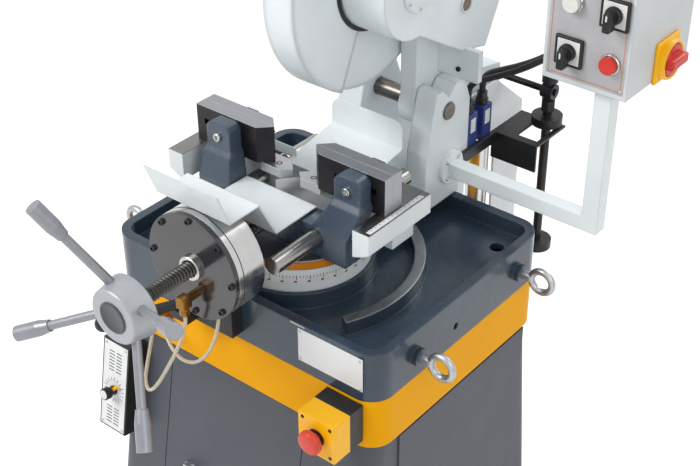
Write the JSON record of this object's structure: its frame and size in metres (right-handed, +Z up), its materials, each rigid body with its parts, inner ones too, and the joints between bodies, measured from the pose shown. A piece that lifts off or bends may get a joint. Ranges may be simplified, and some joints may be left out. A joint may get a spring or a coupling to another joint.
{
  "type": "cold saw",
  "caption": "Floor-standing circular cold saw for metal bars: lowering blade head with guard on a mitre turntable, pneumatic vice with handwheel, chip tray, cabinet and control panel.",
  "frame": {"origin": "floor level, straight below the turntable axis", "axes": "+X to the operator's right, +Y to the back of the machine, +Z up"},
  "size_m": [0.792, 0.9805, 1.592],
  "materials": {
    "stand_grey": "satin",
    "band_yellow": "gloss",
    "casting_grey": "satin",
    "zinc_steel": "satin",
    "black_plastic": "matte",
    "yellow_plastic": "gloss",
    "red_plastic": "gloss",
    "white_plastic": "gloss",
    "black_paint": "satin",
    "machined_steel": "satin",
    "orange_paint": "gloss",
    "white_paint": "satin",
    "jaw_steel": "satin",
    "cast_aluminium": "satin",
    "dark_cover": "satin",
    "brass": "satin",
    "hose_clear": "gloss",
    "switch_blue": "matte",
    "cable_black": "matte",
    "motor_grey": "satin",
    "blade_steel": "satin"
  },
  "bodies": {
    "base": {"floor_plate": "stand_grey", "cabinet": "stand_grey", "cabinet_band": "band_yellow", "tray_casting": "casting_grey", "lifting_eyes": "zinc_steel", "side_panel": "stand_grey", "coolant_tank": "zinc_steel", "coolant_pump": "black_plastic", "estop_base": "black_plastic", "estop_lid": "yellow_plastic", "feed_box": "black_plastic", "bed_plate": "machined_steel", "accent_ring": "orange_paint", "bed_arms": "white_paint", "slot_inserts": "machined_steel", "guide_rods": "machined_steel", "rear_jaw_supports": "casting_grey", "rear_jaw_plates": "jaw_steel", "cylinder_bracket": "black_paint", "vice_cylinder": "cast_aluminium", "cylinder_cover": "dark_cover", "hose_fittings": "brass", "air_hose_front": "hose_clear", "air_hose_rear": "hose_clear", "front_chute": "white_paint", "rear_chute": "white_paint"},
    "door": {"cabinet_door": "stand_grey"},
    "latch": {"door_latch": "zinc_steel"},
    "estop": {"estop_button": "red_plastic"},
    "feed_control": {"feed_knob": "black_plastic"},
    "lock": {"swivel_lever": "black_paint"},
    "carriage": {"vice_carriage": "casting_grey", "front_jaw_plates": "jaw_steel"},
    "handwheel": {"vice_screw": "machined_steel", "handwheel_hub": "cast_aluminium", "handwheel_arms": "zinc_steel"},
    "turntable": {"column": "white_paint", "pivot_shaft": "machined_steel", "panel_arm": "white_paint", "control_box": "white_paint", "limit_switches": "switch_blue", "switch_bracket": "black_paint", "rear_plate": "white_paint", "feed_cylinder": "cast_aluminium", "switch_cable_near": "cable_black", "switch_cable_far": "cable_black"},
    "start": {"start_button": "white_plastic"},
    "stop": {"stop_button": "red_plastic"},
    "mode": {"mode_switch": "black_plastic"},
    "pump_control": {"pump_switch": "black_plastic"},
    "mains": {"main_switch": "red_plastic"},
    "feed_rod": {"feed_piston": "machined_steel"},
    "head": {"gearbox": "white_paint", "motor": "motor_grey", "rear_guard": "white_paint"},
    "guard": {"front_guard": "white_paint"},
    "saw": {"blade": "blade_steel", "spindle": "machined_steel"},
    "worm": {"worm_shaft": "machined_steel"},
    "depth_stop": {"stop_rod": "black_paint"}
  },
  "joints": [
    {"name": "swivel", "type": "hinge", "parent": "base", "child": "turntable", "pos_m": [0, 0, 0.79], "axis": [0, 0, 1], "range_deg": [-45, 45]},
    {"name": "head_swing", "type": "hinge", "parent": "turntable", "child": "head", "pos_m": [0, 0.262, 0.961], "axis": [1, 0, 0], "range_deg": [0, 40]},
    {"name": "guard_swing", "type": "hinge", "parent": "head", "child": "guard", "pos_m": [0, 0.155, 1.213], "axis": [1, 0, 0], "range_deg": [-95, 0]},
    {"name": "stop_rod_swing", "type": "hinge", "parent": "head", "child": "depth_stop", "pos_m": [0.161, 0.474, 0.93], "axis": [1, 0, 0], "range_deg": [-40, 0]},
    {"name": "feed_stroke", "type": "slide", "parent": "turntable", "child": "feed_rod", "axis": [0, 0, 1], "range_m": [0, 0.1165]},
    {"name": "blade_spin", "type": "hinge", "parent": "head", "child": "saw", "pos_m": [0, 0.155, 1.213], "axis": [1, 0, 0], "continuous": true},
    {"name": "worm_spin", "type": "hinge", "parent": "head", "child": "worm", "pos_m": [0.065, 0.2424, 1.213], "axis": [0, 0, 1], "continuous": true},
    {"name": "vice_slide", "type": "slide", "parent": "base", "child": "carriage", "axis": [0, 1, 0], "range_m": [-0.095, 0]},
    {"name": "handwheel_spin", "type": "hinge", "parent": "carriage", "child": "handwheel", "pos_m": [0, -0.349, 0.882], "axis": [0, 1, 0], "range_deg": [-5700, 0]},
    {"name": "estop_press", "type": "slide", "parent": "base", "child": "estop", "axis": [0, 1, 0], "range_m": [0, 0.005], "stiffness_N_per_m": 900},
    {"name": "feed_turn", "type": "hinge", "parent": "base", "child": "feed_control", "pos_m": [-0.249, -0.20592, 0.49856], "axis": [0, -0.9815, 0.1914], "range_deg": [0, 300]},
    {"name": "lock_turn", "type": "hinge", "parent": "base", "child": "lock", "pos_m": [-0.072, -0.188, 0.747], "axis": [0, 0, 1], "range_deg": [-30, 30]},
    {"name": "door_swing", "type": "hinge", "parent": "base", "child": "door", "pos_m": [0.133, -0.2487, 0.09115], "axis": [0, 0.1914, 0.9815], "range_deg": [0, 110]},
    {"name": "latch_turn", "type": "hinge", "parent": "door", "child": "latch", "pos_m": [-0.093, -0.18444, 0.38928], "axis": [0, -0.9815, 0.1914], "range_deg": [0, 90]},
    {"name": "start_press", "type": "slide", "parent": "turntable", "child": "start", "axis": [0, 1, 0], "range_m": [0, 0.004], "stiffness_N_per_m": 500},
    {"name": "stop_press", "type": "slide", "parent": "turntable", "child": "stop", "axis": [0, 1, 0], "range_m": [0, 0.004], "stiffness_N_per_m": 500},
    {"name": "mode_turn", "type": "hinge", "parent": "turntable", "child": "mode", "pos_m": [0.322, 0.24, 1.145], "axis": [0, 1, 0], "range_deg": [-45, 45]},
    {"name": "pump_turn", "type": "hinge", "parent": "turntable", "child": "pump_control", "pos_m": [0.389, 0.24, 1.222], "axis": [0, 1, 0], "range_deg": [-45, 45]},
    {"name": "mains_turn", "type": "hinge", "parent": "turntable", "child": "mains", "pos_m": [0.418, 0.349, 1.122], "axis": [1, 0, 0], "range_deg": [0, 90]}
  ],
  "couplings": [
    {"joint": "guard_swing", "follows": "head_swing", "ratio": -2.375},
    {"joint": "stop_rod_swing", "follows": "head_swing", "ratio": -1},
    {"joint": "feed_stroke", "follows": "head_swing", "m_per_rad": 0.166},
    {"joint": "worm_spin", "follows": "blade_spin", "ratio": 30},
    {"joint": "vice_slide", "follows": "handwheel_spin", "m_per_rad": 0.00095493}
  ]
}
